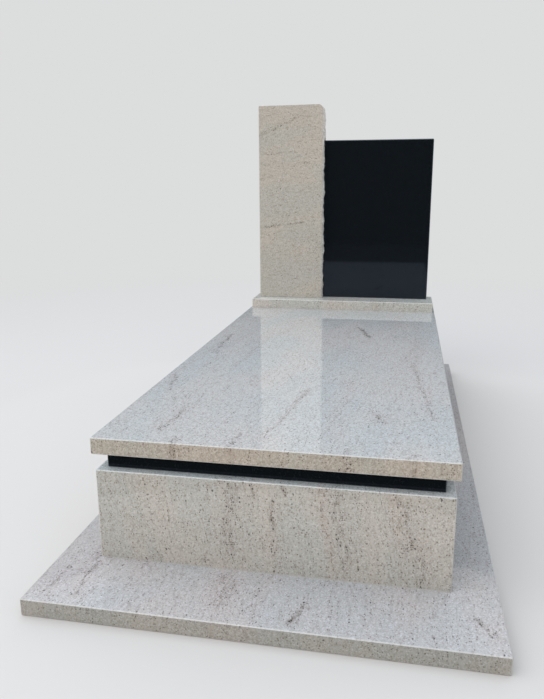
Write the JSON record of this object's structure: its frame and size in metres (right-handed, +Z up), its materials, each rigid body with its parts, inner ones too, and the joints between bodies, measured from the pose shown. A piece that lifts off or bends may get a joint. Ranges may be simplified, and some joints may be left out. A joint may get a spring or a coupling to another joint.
{
  "type": "single-grave monument with headstone",
  "caption": "Granite grave monument: base slab, kerb box with a dark band, cover slab, and a headstone of a pale rock-edged pillar and a lower black tablet.",
  "frame": {"origin": "centre of the base slab's underside, at ground level", "axes": "+Y along the grave from its foot to its head, +X across it to the right as seen from the foot, +Z up"},
  "size_m": [1, 2.1, 1.21],
  "materials": {
    "pale_granite": "polished pale grey granite, rock-pitched on one side of the pillar",
    "black_granite": "polished black granite"
  },
  "bodies": {
    "root": {"base_slab": "pale_granite", "cover_slab": "pale_granite", "front_band": "black_granite", "front_kerb": "pale_granite", "headstone_base": "pale_granite", "left_band": "black_granite", "left_kerb": "pale_granite", "pillar": "pale_granite", "rear_band": "black_granite", "rear_kerb": "pale_granite", "right_band": "black_granite", "right_kerb": "pale_granite", "tablet": "black_granite"}
  },
  "joints": []
}
